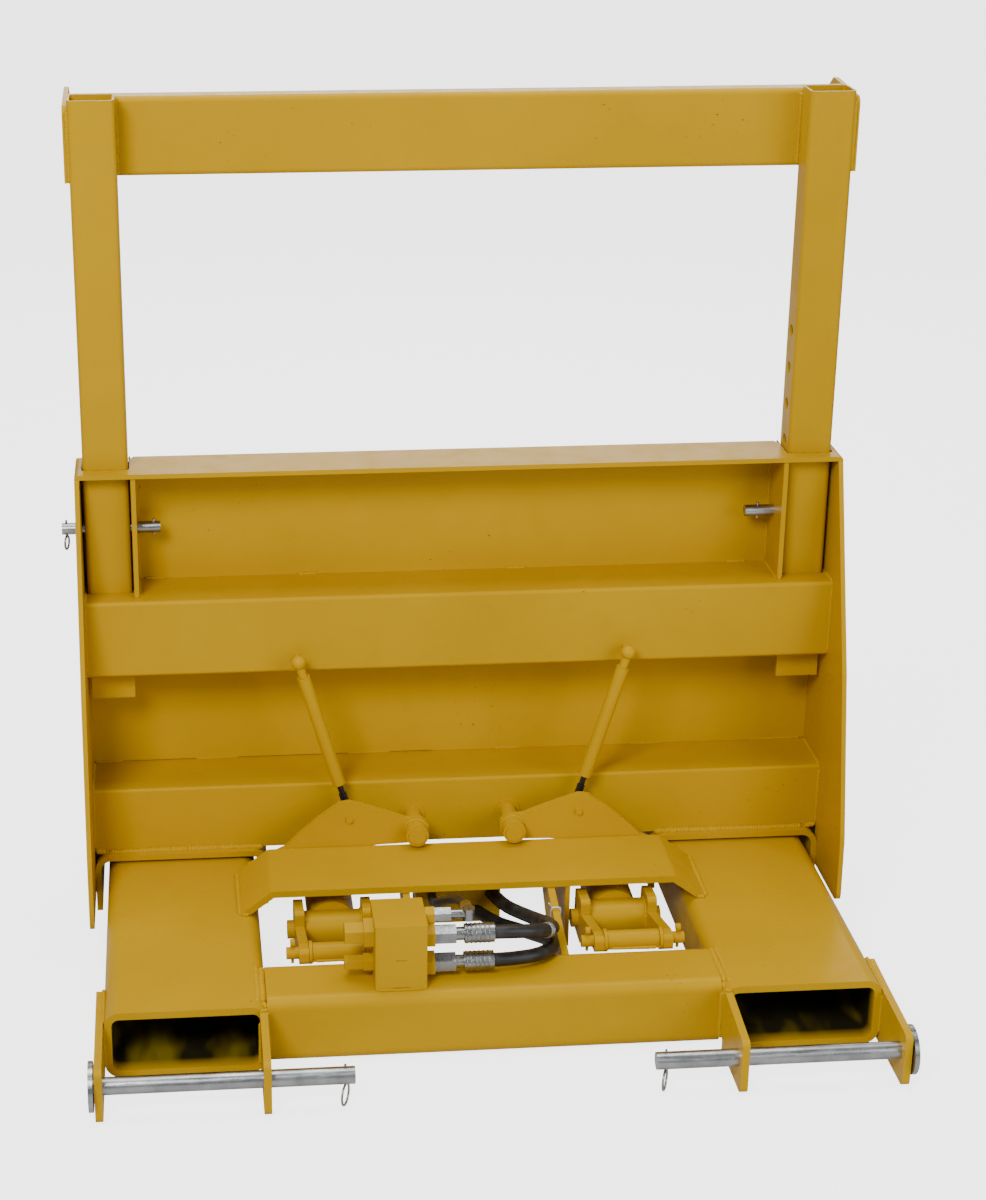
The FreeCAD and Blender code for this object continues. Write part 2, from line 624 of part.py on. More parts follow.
# ---------------------------------------------------------------- tilting frame
def upper_back_plate():
    """Top bay's skin, bent forward into the top flange, notched round both posts."""
    height = "(flange_z-beam_top)"
    skin = box("-(frame_half-side_t)", "load_y-skin_t", "beam_top",
               "2*(frame_half-side_t)", "skin_t", height)
    flange = box("-frame_half", "flange_y", "flange_z-skin_t", "2*frame_half", "load_y-flange_y", "skin_t")
    bent = rounded(fuse(skin, flange), "5", outer_bend)
    notches = []
    for _, side in SIDES:
        inner = f"{side}*(post_x-post_w/2-1.5)"
        outer = f"{side}*(post_x+post_w/2+1.5)"
        outline = [(outer, "post_y-0.8"), (inner, "post_y-0.8"), (inner, "load_y-16"),
                   (f"{side}*(post_x-post_w/2-9)", "load_y+1"), (outer, "load_y+1")]
        notches.append(plate("XY", outline, "flange_z-skin_t-5", "skin_t+10"))
    return node(cut(bent, *notches), "upper_back_plate")


def outer_bend(edge):
    """The long top edge on the load side and the flange's two outer top edges."""
    if not isinstance(edge.Curve, Part.Line):
        return False
    at = edge.valueAt((edge.FirstParameter + edge.LastParameter) / 2)
    if abs(at.z - num("flange_z")) > 0.01:
        return False
    return abs(at.y - num("load_y")) < 0.01 or abs(abs(at.x) - num("frame_half")) < 0.01


def mid_beam():
    """Box beam across the frame, open at its ends, slotted for the posts."""
    depth = "(load_y-beam_y)"
    inside = "2*(frame_half-side_t)"
    height = "(beam_top-beam_low)"
    outer = rounded(box("-(frame_half-side_t)", "beam_y", "beam_low", inside, depth, height), "5",
                    runs_along("x"))
    bore = box("-frame_half", "beam_y+skin_t", "beam_low+skin_t", "2*frame_half",
               f"{depth}-2*skin_t", f"{height}-2*skin_t")
    slots = []
    for _, side in SIDES:
        slots.append(box(f"{side}*post_x-post_w/2-1.5", "post_y-0.8", "beam_low-20", "post_w+3",
                         "post_d+1.4", f"{height}+60"))
    return node(cut(outer, bore, *slots), "mid_beam")


def lower_channel():
    """Channel that ties the tines to the side plates."""
    inside = "2*(frame_half-side_t)"
    low = "-(frame_half-side_t)"
    web = box(low, "channel_y", "deck_z", inside, "skin_t", "channel_top-deck_z")
    top = box(low, "channel_y", "channel_top-skin_t", inside, "load_y-channel_y", "skin_t")
    back = box(low, "load_y-skin_t", "deck_z+40", inside, "skin_t", "channel_top-deck_z-40")
    shape = rounded(fuse(web, top, back), "4", channel_nose)
    holes = [rod("Y", f"{side}*boss_x", "channel_y-10", "boss_z", "34", "load_y-channel_y+30")
             for _, side in SIDES]
    return node(cut(shape, *holes), "lower_channel")


def channel_nose(edge):
    """The channel's long top edge on the truck side."""
    if not isinstance(edge.Curve, Part.Line):
        return False
    at = edge.valueAt((edge.FirstParameter + edge.LastParameter) / 2)
    return abs(at.z - num("channel_top")) < 0.01 and abs(at.y - num("channel_y")) < 0.01


def mid_back_plate():
    """Skin of the middle bay; a narrow slit stays open below it."""
    skin = box("-(frame_half-side_t)", "load_y-skin_t", "bay_low", "2*(frame_half-side_t)", "skin_t",
               "beam_low-bay_low")
    return node(skin, "mid_back_plate")


def side_plate(name, side):
    """Tapered side plate, deeper at its foot, which hangs outside the fork pocket."""
    outline = [("flange_y", "flange_z-skin_t"), ("side_knee_y", "side_knee_z"),
               ("side_foot_y", "side_foot_z"), ("side_foot_y-3", "side_low"), ("load_y", "side_low"),
               ("load_y", "flange_z-skin_t")]
    pin = ("post_y+post_d/2", "hole_z", "pin_dia+2*fit")
    body = plate("YZ", outline, f"{side}*(frame_half-side_t/2)-side_t/2", "side_t", holes=[pin],
                 corners=[("13", [3]), ("60", [1, 2])])
    return node(body, f"{name}_side_plate")


def post_guides():
    """Upright plate on the inner side of each post's socket, and a small one under the beam."""
    parts = []
    outline = [("guss_y", "beam_top"), ("guss_y", "flange_z-skin_t"),
               ("load_y-skin_t", "flange_z-skin_t"), ("load_y-skin_t", "beam_top")]
    pin = ("post_y+post_d/2", "hole_z", "pin_dia+2*fit")
    for _, side in SIDES:
        parts.append(plate("YZ", outline, f"{side}*guss_x-3.2", "6.4", holes=[pin]))
        parts.append(box(f"{side}*post_x-29", "post_y-8.5", "beam_low-42", 58, 6, 42))
    return node(group(*parts), "post_guides")


def tine(name, side):
    """Inverted channel that lies over the fork pocket and carries the bin."""
    low = f"{side}*pocket_ctr-tine_half"
    length = "(hinge_y+38-tine_y)"
    outer = rounded(box(low, "tine_y", "tine_low", "2*tine_half", length, "deck_z-tine_low"), "tine_rad",
                    top_edges)
    bore_box = box(f"{low}+tine_t", "tine_y-1", "tine_low-50", "2*tine_half-2*tine_t", f"{length}+2",
                   "deck_z-tine_low-tine_t+50")
    inner = rounded(bore_box, "tine_rad-tine_t", bore_top_edges)
    pivot = rod("X", f"{low}-1", "hinge_y", "hinge_z", "hinge_pin+2*fit", "2*tine_half+2")
    return node(cut(outer, inner, pivot), f"{name}_tine")


def top_edges(edge):
    """Edges along Y at the tine's top."""
    at = edge.valueAt((edge.FirstParameter + edge.LastParameter) / 2)
    return runs_along("y")(edge) and abs(at.z - num("deck_z")) < 0.01


def bore_top_edges(edge):
    """Edges along Y under the tine's top plate."""
    at = edge.valueAt((edge.FirstParameter + edge.LastParameter) / 2)
    return runs_along("y")(edge) and abs(at.z - num("deck_z-tine_t")) < 0.01


def torsion_tube():
    """Tube on the hinge axis between the tines, with a pair of lugs for each rod."""
    half = "(pocket_ctr-tine_half)"
    tube = rod("X", f"-{half}", "hinge_y", "hinge_z", "torsion_od", f"2*{half}")
    bore = rod("X", f"-{half}-1", "hinge_y", "hinge_z", "torsion_od-2*torsion_t", f"2*{half}+2")
    eye = rod_point()
    lugs = []
    for _, side in SIDES:
        for end in (-1, 1):
            low = f"{side}*yoke_ctr+({end})*(eye_w/2+1+lug_t/2)-lug_t/2"
            outline = [("hinge_y-4", "hinge_z+28"), (eye[0] + 4, eye[1] + 21), (eye[0] - 22, eye[1] + 16),
                       (eye[0] - 18, eye[1] - 22), ("hinge_y-10", "hinge_z-26")]
            lugs.append(plate("YZ", outline, low, "lug_t", holes=[(eye[0], eye[1], "20")],
                              corners=[("12", [1, 2, 3])]))
    return node(cut(fuse(tube, *lugs), bore), "torsion_tube")


# ---------------------------------------------------------------- telescoping hoop
def hoop():
    """Two posts, the crossbar behind them and the two retaining plates."""
    for name, side in SIDES:
        low = f"{side}*post_x-post_w/2"
        tube = square_tube("z", low, "post_y", "post_low", "post_w", "post_d", "post_top-post_low",
                           "post_t", 7)
        holes = []
        for step in range(6):
            holes.append(rod("X", f"{low}-1", "post_y+post_d/2", f"hole_z+{step}*hole_pitch",
                             "pin_dia+2*fit", "post_w+2"))
        node(cut(tube, *holes), f"{name}_post")
    wide = "2*(post_x+post_w/2)"
    bar = square_tube("x", "-(post_x+post_w/2)", "post_y+post_d", "bar_low", wide, "bar_d", "bar_ht", 4.8, 7)
    node(bar, "crossbar")
    parts = []
    outline = [("post_y+6", "bar_low+1"), ("post_y+6", "bar_low+bar_ht-4"),
               ("post_y+120", "bar_low+bar_ht+3"), ("post_y+200", "bar_low+bar_ht-50"),
               ("post_y+200", "bar_low+bar_ht-78"), ("post_y+130", "bar_low+1")]
    for _, side in SIDES:
        parts.append(plate("YZ", outline, f"{side}*(post_x+post_w/2+3.2)-3.2", "6.4",
                           corners=[("10", [1, 3, 4]), ("6", [2])]))
    node(group(*parts), "retaining_plates")


def socket_pin(name, side):
    """Pin that locks a post in its socket; the left one has a wire ring through its outer end."""
    low = "-537" if side < 0 else "396"
    y = "post_y+post_d/2"
    shank = rod("X", low, y, "hole_z", "pin_dia", "pin_len")
    cotter = rod("Z", f"{side}*414", y, "hole_z-pin_dia/2-3", 4, "pin_dia+6")
    pin = fuse(shank, cotter)
    if side > 0:
        return node(pin, f"{name}_socket_pin")
    drilled = rod("Z", SOCKET_RING_X, y, "hole_z-pin_dia", "3.2", "2*pin_dia")
    node(cut(pin, drilled), f"{name}_socket_pin")
    return node(ring_clip(SOCKET_RING_X, y, "hole_z", "pin_dia", 18, 75), f"{name}_socket_ring")


# ---------------------------------------------------------------- bin latches
def latch(name, side):
    """Lever with its boss, and the shaft with the finger on the load side."""
    toe = "pocket_ctr-pocket_w/2"
    edge = [
        ("spring_x", "spring_z+25.5"), ("spring_x+14", "spring_z+23"), ("202", "168.5"), ("230", "143.5"),
        ("248", "125"), (f"{toe}+12", "pocket_ht+9"), (f"{toe}+12", "pocket_ht+gap"),
        (f"{toe}-6", "pocket_ht+gap"), ("190", "117"), ("146", "122"), ("119", "125.4"),
        ("boss_x+14", "126.5"), ("boss_x-9", "boss_z-17"), ("boss_x-17.5", "boss_z-8"),
        ("boss_x-17.5", "boss_z+8"), ("boss_x-8", "boss_z+17"), ("boss_x+14", "boss_z+17.5"),
        ("105", "173"), ("133", "183")]
    outline = [(signed(side, x), z) for x, z in edge]
    arm = plate("XZ", outline, "latch_y", "latch_t",
                corners=[("15", [0]), ("60", [2, 3]), ("8", [12, 13, 14, 15]), ("4", [5])])
    boss = rod("Y", signed(side, "boss_x"), "latch_y-20", "boss_z", "boss_dia", "20")
    stud = rod("Y", signed(side, "spring_x"), "latch_y-4", "spring_z", "9", "latch_t+26")
    socket = rod("Y", signed(side, "boss_x"), "latch_y-40", "boss_z", "shaft_dia", "60")
    node(cut(fuse(arm, boss, stud), socket), f"{name}_latch_lever")
    shaft = rod("Y", signed(side, "boss_x"), "latch_y-22", "boss_z", "shaft_dia", "load_y+20-latch_y+22")
    finger = plate("XZ", [
        (signed(side, "boss_x-16"), "boss_z-16"), (signed(side, "boss_x+86"), "boss_z-14"),
        (signed(side, "boss_x+104"), "boss_z-4"), (signed(side, "boss_x+104"), "boss_z+8"),
        (signed(side, "boss_x-16"), "boss_z+16")],
        "load_y+4", "12", corners=[("6", [1, 2, 3]), ("9", [0, 4])])
    node(fuse(shaft, finger), f"{name}_latch_shaft")


def latch_bushes():
    """Bushes through the lower channel that carry the latch shafts."""
    parts = []
    for _, side in SIDES:
        x = signed(side, "boss_x")
        outer = rod("Y", x, "channel_y-2", "boss_z", 34, "load_y-channel_y+2")
        bore = rod("Y", x, "channel_y-20", "boss_z", "shaft_dia+2*fit", "load_y-channel_y+30")
        parts.append(cut(outer, bore))
    return node(group(*parts), "latch_bushes")


def ball_studs():
    """Studs on the beam that carry the gas springs' upper ends."""
    parts = []
    for _, side in SIDES:
        x = signed(side, "ball_x")
        stem = rod("Y", x, "spring_y+4", "ball_z", 8, "beam_y-spring_y-4")
        ball = doc.addObject("Part::Sphere", "Ball")
        bind(ball, "Radius", 5)
        place(ball, x, "spring_y", "ball_z")
        parts.append(fuse(stem, ball))
    return node(group(*parts), "ball_studs")


def gas_spring(name, side):
    """Cylinder with its upper socket, and the rod with its lower eye."""
    top = FreeCAD.Vector(side * num("ball_x"), num("spring_y"), num("ball_z"))
    low = FreeCAD.Vector(side * num("spring_x"), num("spring_y"), num("spring_z"))
    way = (low - top).normalize()
    turn = FreeCAD.Rotation(FreeCAD.Vector(0, 0, 1), way)

    def bar(start, dia, length):
        obj = doc.addObject("Part::Cylinder", "SpringBar")
        bind(obj, "Radius", f"({dia})/2")
        bind(obj, "Height", length)
        obj.Placement = FreeCAD.Placement(top + way * num(start), turn)
        return obj

    def ball(centre, radius):
        obj = doc.addObject("Part::Sphere", "SpringBall")
        bind(obj, "Radius", radius)
        obj.Placement = FreeCAD.Placement(centre, FreeCAD.Rotation())
        return obj

    socket = fuse(ball(top, 10), bar(4, 12, 22), bar(22, "spring_od", "spring_body-22"))
    room = box(top.x - 6.5, top.y, top.z - 6.5, 13, 12, 13)
    chamber = bar(90, "spring_rod+4", "spring_body-102")
    neck_bore = bar("spring_body-20", "spring_rod+2*fit", 30)
    node(cut(socket, ball(top, 5.3), room, chamber, neck_bore), f"{name}_gas_spring_tube")
    span = (low - top).Length
    eye = rod("Y", low.x, low.y - 6, low.z, 17, 12)
    neck = bar(span - 26, 11, 20)
    shaft = bar(100, "spring_rod", span - 124)
    hole = rod("Y", low.x, low.y - 8, low.z, 12, 16)
    return node(cut(fuse(eye, neck, shaft), hole), f"{name}_gas_spring_rod")


# ---------------------------------------------------------------- the whole
for name, side in SIDES:
    fork_pocket(name, side)
    heel_ears(name, side)
    heel_pin(name, side)
cross_tube()
bridge_plate()
tie_bar()
hinge_blocks()
hinge_pins()
valve_block()
valve_caps()
hose_fittings()
hoses()
flow_divider()
stiffeners()
yoke_pivots()
upper_back_plate()
mid_beam()
lower_channel()
mid_back_plate()
post_guides()
torsion_tube()
hoop()
latch_bushes()
ball_studs()
for name, side in SIDES:
    side_plate(name, side)
    tine(name, side)
    lift_cylinder(name, side)
    socket_pin(name, side)
    latch(name, side)
    gas_spring(name, side)
doc.recompute()

broken = [obj.Label for obj in doc.Objects if "Invalid" in obj.State or "Error" in obj.State]
for obj in NODES:
    if obj.Shape.isNull() or not obj.Shape.isValid() or not obj.Shape.Solids:
        broken.append(obj.Label)
if broken:
    raise SystemExit("not built: " + ", ".join(broken))
os.makedirs("parts", exist_ok=True)
for obj in NODES:
    obj.Shape.exportStep(f"parts/{obj.Label}.step")
print(len(NODES), "sub-parts written")
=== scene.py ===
import json
import math
import random

import bpy
from mathutils import Euler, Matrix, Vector


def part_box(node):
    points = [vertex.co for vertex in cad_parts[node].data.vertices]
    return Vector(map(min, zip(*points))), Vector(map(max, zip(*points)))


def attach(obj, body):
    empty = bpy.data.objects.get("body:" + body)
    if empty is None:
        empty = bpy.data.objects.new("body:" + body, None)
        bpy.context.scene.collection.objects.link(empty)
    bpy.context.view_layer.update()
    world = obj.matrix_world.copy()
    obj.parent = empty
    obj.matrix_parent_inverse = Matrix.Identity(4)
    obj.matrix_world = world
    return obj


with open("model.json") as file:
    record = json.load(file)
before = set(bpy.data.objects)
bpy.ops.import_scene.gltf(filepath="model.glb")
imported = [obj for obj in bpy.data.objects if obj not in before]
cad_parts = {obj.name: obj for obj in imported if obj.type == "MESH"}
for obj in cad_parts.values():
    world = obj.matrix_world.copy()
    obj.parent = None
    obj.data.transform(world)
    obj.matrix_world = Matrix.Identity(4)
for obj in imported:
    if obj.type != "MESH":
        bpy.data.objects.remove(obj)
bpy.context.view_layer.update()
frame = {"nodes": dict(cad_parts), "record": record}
nodes = frame["nodes"]
random.seed(7)
MM = 0.001


# ---------------------------------------------------------------- materials
OCHRE_DARK, OCHRE_LIGHT = (0.470, 0.262, 0.0004), (0.545, 0.312, 0.0008)
OCHRE_DUSTY = (0.40, 0.215, 0.004)
SCUFF_BROWN = (0.13, 0.055, 0.012)
# painted shade: near-black tones for the fork pockets' inner faces
PAINTED_SHADE_DEEP, PAINTED_SHADE_WARM = (0.006, 0.006, 0.005), (0.030, 0.024, 0.008)
OVERSPRAY = (0.190, 0.135, 0.002)


def new_material(name):
    """An empty node material: returns the material, its nodes, its links and its shader."""
    mat = bpy.data.materials.new(name)
    mat.use_nodes = True
    tree = mat.node_tree
    return mat, tree.nodes, tree.links, tree.nodes["Principled BSDF"]


def noise(n, links, coords, scale, detail=4.0, rough=0.55, stretch=None):
    """Noise in the row frame, in cycles per metre; stretch squeezes it along an axis."""
    tex = n.new("ShaderNodeTexNoise")
    tex.inputs["Scale"].default_value = scale
    tex.inputs["Detail"].default_value = detail
    tex.inputs["Roughness"].default_value = rough
    source = coords.outputs["Object"]
    if stretch:
        mapping = n.new("ShaderNodeMapping")
        mapping.inputs["Scale"].default_value = stretch
        links.new(source, mapping.inputs["Vector"])
        source = mapping.outputs["Vector"]
    links.new(source, tex.inputs["Vector"])
    return tex


def ramp(n, links, source, stops):
    """A colour ramp on a value: stops are (position, grey or colour)."""
    node = n.new("ShaderNodeValToRGB")
    elements = node.color_ramp.elements
    while len(elements) < len(stops):
        elements.new(0.5)
    for element, (position, colour) in zip(elements, stops):
        element.position = position
        shade = (colour, colour, colour) if isinstance(colour, (int, float)) else colour
        element.color = (*shade, 1.0)
    links.new(source, node.inputs["Fac"])
    return node


def product(n, links, first, second):
    """The product of two values."""
    node = n.new("ShaderNodeMath")
    node.operation = "MULTIPLY"
    links.new(first, node.inputs[0])
    links.new(second, node.inputs[1])
    return node.outputs["Value"]


def mix(n, links, factor, low, high):
    """Mix two colours, each a socket or a constant."""
    node = n.new("ShaderNodeMix")
    node.data_type = "RGBA"
    links.new(factor, node.inputs["Factor"])
    for socket, value in ((node.inputs[6], low), (node.inputs[7], high)):
        if isinstance(value, tuple):
            socket.default_value = (*value, 1.0)
        else:
            links.new(value, socket)
    return node.outputs[2]


def bump(n, links, shader, layers):
    """Stack bumps: layers are (height socket, strength, distance in metres)."""
    last = None
    for height, strength, distance in layers:
        node = n.new("ShaderNodeBump")
        node.inputs["Strength"].default_value = strength
        node.inputs["Distance"].default_value = distance
        links.new(height, node.inputs["Height"])
        if last:
            links.new(last.outputs["Normal"], node.inputs["Normal"])
        last = node
    links.new(last.outputs["Normal"], shader.inputs["Normal"])


def paint(name, inside=None, beads=False):
    """Sprayed ochre enamel: uneven gloss, faint orange peel, dust and a few dark scuffs.

    inside is a function of the nodes that returns a mask of the inner faces, which get painted shade near
    black with patches of ochre overspray.
    """
    mat, n, links, shader = new_material(name)
    coords = n.new("ShaderNodeTexCoord")
    broad = noise(n, links, coords, 3.2, 3.0)
    fine = noise(n, links, coords, 38.0, 5.0)
    tone = ramp(n, links, broad.outputs["Fac"], [(0.30, OCHRE_DARK), (0.70, OCHRE_LIGHT)])
    dust = ramp(n, links, fine.outputs["Fac"], [(0.52, 0.0), (0.80, 0.16)])
    colour = mix(n, links, dust.outputs["Color"], tone.outputs["Color"], OCHRE_DUSTY)
    specks = noise(n, links, coords, 210.0, 2.0)
    patches = noise(n, links, coords, 9.0, 2.0)
    sharp = ramp(n, links, specks.outputs["Fac"], [(0.70, 0.0), (0.74, 1.0)])
    spread = ramp(n, links, patches.outputs["Fac"], [(0.60, 0.0), (0.68, 1.0)])
    scuffs = product(n, links, sharp.outputs["Color"], spread.outputs["Color"])
    colour = mix(n, links, scuffs, colour, SCUFF_BROWN)
    rough = ramp(n, links, fine.outputs["Fac"], [(0.30, 0.27), (0.75, 0.42)])
    if inside:
        mask = inside(n, links, coords)
        # painted shade: near black on the pockets' inner faces, with patches of ochre overspray mixed in
        painted_shade = mix(n, links, fine.outputs["Fac"], PAINTED_SHADE_DEEP, PAINTED_SHADE_WARM)
        drift = noise(n, links, coords, 11.0, 3.0, stretch=(1.0, 0.35, 1.6))
        spray = ramp(n, links, drift.outputs["Fac"], [(0.47, 0.0), (0.60, 1.0)])
        painted_shade = mix(n, links, spray.outputs["Color"], painted_shade, OVERSPRAY)
        colour = mix(n, links, mask, colour, painted_shade)
    links.new(colour, shader.inputs["Base Color"])
    links.new(rough.outputs["Color"], shader.inputs["Roughness"])
    shader.inputs["IOR"].default_value = 1.5
    shader.inputs["Specular IOR Level"].default_value = 0.20
    shader.inputs["Specular Tint"].default_value = (1.0, 0.78, 0.34, 1.0)
    peel = noise(n, links, coords, 420.0, 2.0)
    layers = [(peel.outputs["Fac"], 0.08, 0.0003), (broad.outputs["Fac"], 0.06, 0.004)]
    if beads:
        layers.append((specks.outputs["Fac"], 0.35, 0.0012))
    bump(n, links, shader, layers)
    return mat


def between(n, links, value, low, high, blur):
    """1 where a value lies between two limits, with soft ends."""
    up = n.new("ShaderNodeMapRange")
    up.inputs["From Min"].default_value = low - blur
    up.inputs["From Max"].default_value = low + blur
    down = n.new("ShaderNodeMapRange")
    down.inputs["From Min"].default_value = high + blur
    down.inputs["From Max"].default_value = high - blur
    for limit in (up, down):
        links.new(value, limit.inputs["Value"])
    return product(n, links, up.outputs["Result"], down.outputs["Result"])


def pocket_inside(side):
    """Mask of a fork pocket's inner faces, from its own box: where painted shade goes, from just past the
    mouth to the far end.
    """
    low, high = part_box(f"{side}_fork_pocket")
    wall = 8.5 * MM
    sharp, soft = 0.4 * MM, 10 * MM
    mouth, beyond = 12 * MM, 1000 * MM

    def mask(n, links, coords):
        split = n.new("ShaderNodeSeparateXYZ")
        links.new(coords.outputs["Object"], split.inputs["Vector"])
        parts = [
            between(n, links, split.outputs["X"], low[0] + wall, high[0] - wall, sharp),
            between(n, links, split.outputs["Z"], low[2] + wall, high[2] - wall, sharp),
            between(n, links, split.outputs["Y"], low[1] + mouth, high[1] + beyond, soft),
        ]
        total = parts[0]
        for part in parts[1:]:
            total = product(n, links, total, part)
        return total
    return mask


def zinc(name, tint=(0.42, 0.43, 0.43), stretch=(1.0, 1.0, 1.0)):
    """Zinc plate: bright, finely streaked, with duller cloudy patches."""
    mat, n, links, shader = new_material(name)
    coords = n.new("ShaderNodeTexCoord")
    streak = noise(n, links, coords, 260.0, 3.0, 0.6, stretch)
    cloud = noise(n, links, coords, 30.0, 4.0)
    dull = tuple(channel * 0.55 for channel in tint)
    clouds = ramp(n, links, cloud.outputs["Fac"], [(0.35, 0.0), (0.75, 1.0)])
    rough = ramp(n, links, streak.outputs["Fac"], [(0.3, 0.20), (0.75, 0.46)])
    links.new(mix(n, links, clouds.outputs["Color"], tint, dull), shader.inputs["Base Color"])
    links.new(rough.outputs["Color"], shader.inputs["Roughness"])
    shader.inputs["Metallic"].default_value = 1.0
    bump(n, links, shader, [(streak.outputs["Fac"], 0.25, 0.0003)])
    return mat


def rubber(name):
    """Black hose cover with a fine cloth-wrap pattern and a little dust."""
    mat, n, links, shader = new_material(name)
    coords = n.new("ShaderNodeTexCoord")
    dust = noise(n, links, coords, 60.0, 4.0)
    wrap = noise(n, links, coords, 900.0, 1.0)
    dusty = ramp(n, links, dust.outputs["Fac"], [(0.45, 0.0), (0.85, 1.0)])
    colour = mix(n, links, dusty.outputs["Color"], (0.010, 0.010, 0.011), (0.045, 0.042, 0.036))
    rough = ramp(n, links, dust.outputs["Fac"], [(0.3, 0.34), (0.8, 0.62)])
    links.new(colour, shader.inputs["Base Color"])
    links.new(rough.outputs["Color"], shader.inputs["Roughness"])
    bump(n, links, shader, [(wrap.outputs["Fac"], 0.25, 0.0003)])
    return mat


def plain(name, colour, rough, metallic=0.0, grain=300.0):
    """A single-colour finish with grain in its roughness and surface."""
    mat, n, links, shader = new_material(name)
    coords = n.new("ShaderNodeTexCoord")
    tex = noise(n, links, coords, grain, 3.0)
    shade = tuple(channel * 0.78 for channel in colour)
    uneven = ramp(n, links, tex.outputs["Fac"], [(0.3, rough * 0.8), (0.7, min(1.0, rough * 1.25))])
    links.new(mix(n, links, tex.outputs["Fac"], shade, colour), shader.inputs["Base Color"])
    links.new(uneven.outputs["Color"], shader.inputs["Roughness"])
    shader.inputs["Metallic"].default_value = metallic
    bump(n, links, shader, [(tex.outputs["Fac"], 0.12, 0.0002)])
    return mat


ochre = paint("ochre_paint")
weld_paint = paint("ochre_weld", beads=True)
pocket_paint = {side: paint(f"ochre_pocket_{side}", pocket_inside(side)) for side in ("left", "right")}
zinc_plate = zinc("zinc_plate")
pin_zinc = zinc("zinc_pin", (0.48, 0.49, 0.50), (0.10, 1.0, 1.0))
hose_cover = rubber("hose_rubber")
chrome = plain("chrome_rod", (0.78, 0.78, 0.80), 0.09, 1.0)
black_steel = plain("black_steel", (0.012, 0.012, 0.012), 0.30)
tie_white = plain("tie_white", (0.78, 0.78, 0.74), 0.45)
rust = plain("notch_rust", (0.075, 0.028, 0.010), 0.85)
# painted shade: a near-black finish for the corner wedges, which stand where the real corners are only in
# shade
shade_wedge_black = plain("painted_shade", (0.004, 0.004, 0.004), 0.9)

BY_SLOT = {"zinc_plate": zinc_plate, "hose_rubber": hose_cover, "chrome_rod": chrome,
           "black_steel": black_steel, "ochre_paint": ochre}
SLOT_OF = {part["node"]: part["material_slot"] for part in frame["record"]["subparts"]}
OWN = {"left_fork_pocket": pocket_paint["left"], "right_fork_pocket": pocket_paint["right"],
       "left_heel_pin": pin_zinc, "right_heel_pin": pin_zinc, "left_socket_pin": pin_zinc,
       "right_socket_pin": pin_zinc}
for name, obj in nodes.items():
    obj.data.materials.clear()
    obj.data.materials.append(OWN.get(name) or BY_SLOT[SLOT_OF[name]])


# ---------------------------------------------------------------- mesh helpers
def piece(name, verts, faces, body, material, smooth=True):
    """A new mesh piece that rides on a body."""
    mesh = bpy.data.meshes.new(name)
    mesh.from_pydata([tuple(v) for v in verts], [], faces)
    mesh.update()
    for polygon in mesh.polygons:
        polygon.use_smooth = smooth
    obj = bpy.data.objects.new(name, mesh)
    bpy.context.scene.collection.objects.link(obj)
    obj.data.materials.append(material)
    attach(obj, body)
    return obj


def sweep(path, radius_at, sides=10, closed=False):
    """Vertices and faces of a tube along a path; radius_at gives the radius at a distance."""
    verts, faces = [], []
    count = len(path)
    travelled = 0.0
    side = None
    for index, point in enumerate(path):
        before = path[index - 1] if index or closed else point
        after = path[(index + 1) % count] if index < count - 1 or closed else point
        way = (after - before).normalized()
        if side is None:
            side = way.orthogonal().normalized()
        side = (side - way * side.dot(way)).normalized()
        up = way.cross(side)
        if index:
            travelled += (point - path[index - 1]).length
        radius = radius_at(travelled)
        for step in range(sides):
            angle = 2 * math.pi * step / sides
            verts.append(point + (side * math.cos(angle) + up * math.sin(angle)) * radius)
    rings = count if closed else count - 1
    for ring in range(rings):
        here = ring * sides
        there = ((ring + 1) % count) * sides
        for step in range(sides):
            nxt = (step + 1) % sides
            faces.append((here + step, here + nxt, there + nxt, there + step))
    if not closed:
        faces.append(tuple(range(sides - 1, -1, -1)))
        faces.append(tuple((count - 1) * sides + step for step in range(sides)))
    return verts, faces


def merge(parts):
    """One vertex and face list from several."""
    verts, faces = [], []
    for part_verts, part_faces in parts:
        base = len(verts)
        verts.extend(part_verts)
        faces.extend(tuple(base + index for index in face) for face in part_faces)
    return verts, faces


def bead(start, end, radius):
    """A weld bead between two points: overlapping ripples of uneven width."""
    start, end = Vector(start), Vector(end)
    length = (end - start).length
    pitch = radius * 0.75
    steps = max(4, int(length / (pitch / 5)))
    path = []
    drift = Vector((0.0, 0.0, 0.0))
    for index in range(steps + 1):
        drift = drift * 0.92 + Vector([random.uniform(-1, 1) for _ in range(3)]) * radius * 0.03
        path.append(start.lerp(end, index / steps) + drift)
    wave = random.uniform(0, 6)

    def radius_at(distance):
        ripple = abs(math.sin(math.pi * distance / pitch))
        swell = 1 + 0.12 * math.sin(distance / (radius * 6) + wave)
        ends = min(1.0, 0.35 + distance / radius, 0.35 + max(0.0, length - distance) / radius)
        return radius * (0.80 + 0.22 * ripple) * swell * ends
    return sweep(path, radius_at)


def welds(name, body, runs):
    """One piece from many beads: runs are (start, end, radius in mm)."""
    parts = [bead(start, end, radius * MM) for start, end, radius in runs]
    verts, faces = merge(parts)
    return piece(name, verts, faces, body, weld_paint)


def both_sides(runs):
    """Each run and its mirror image."""
    doubled = []
    for start, end, radius in runs:
        for side in (-1, 1):
            doubled.append(((side * start[0], *start[1:]), (side * end[0], *end[1:]), radius))
    return doubled


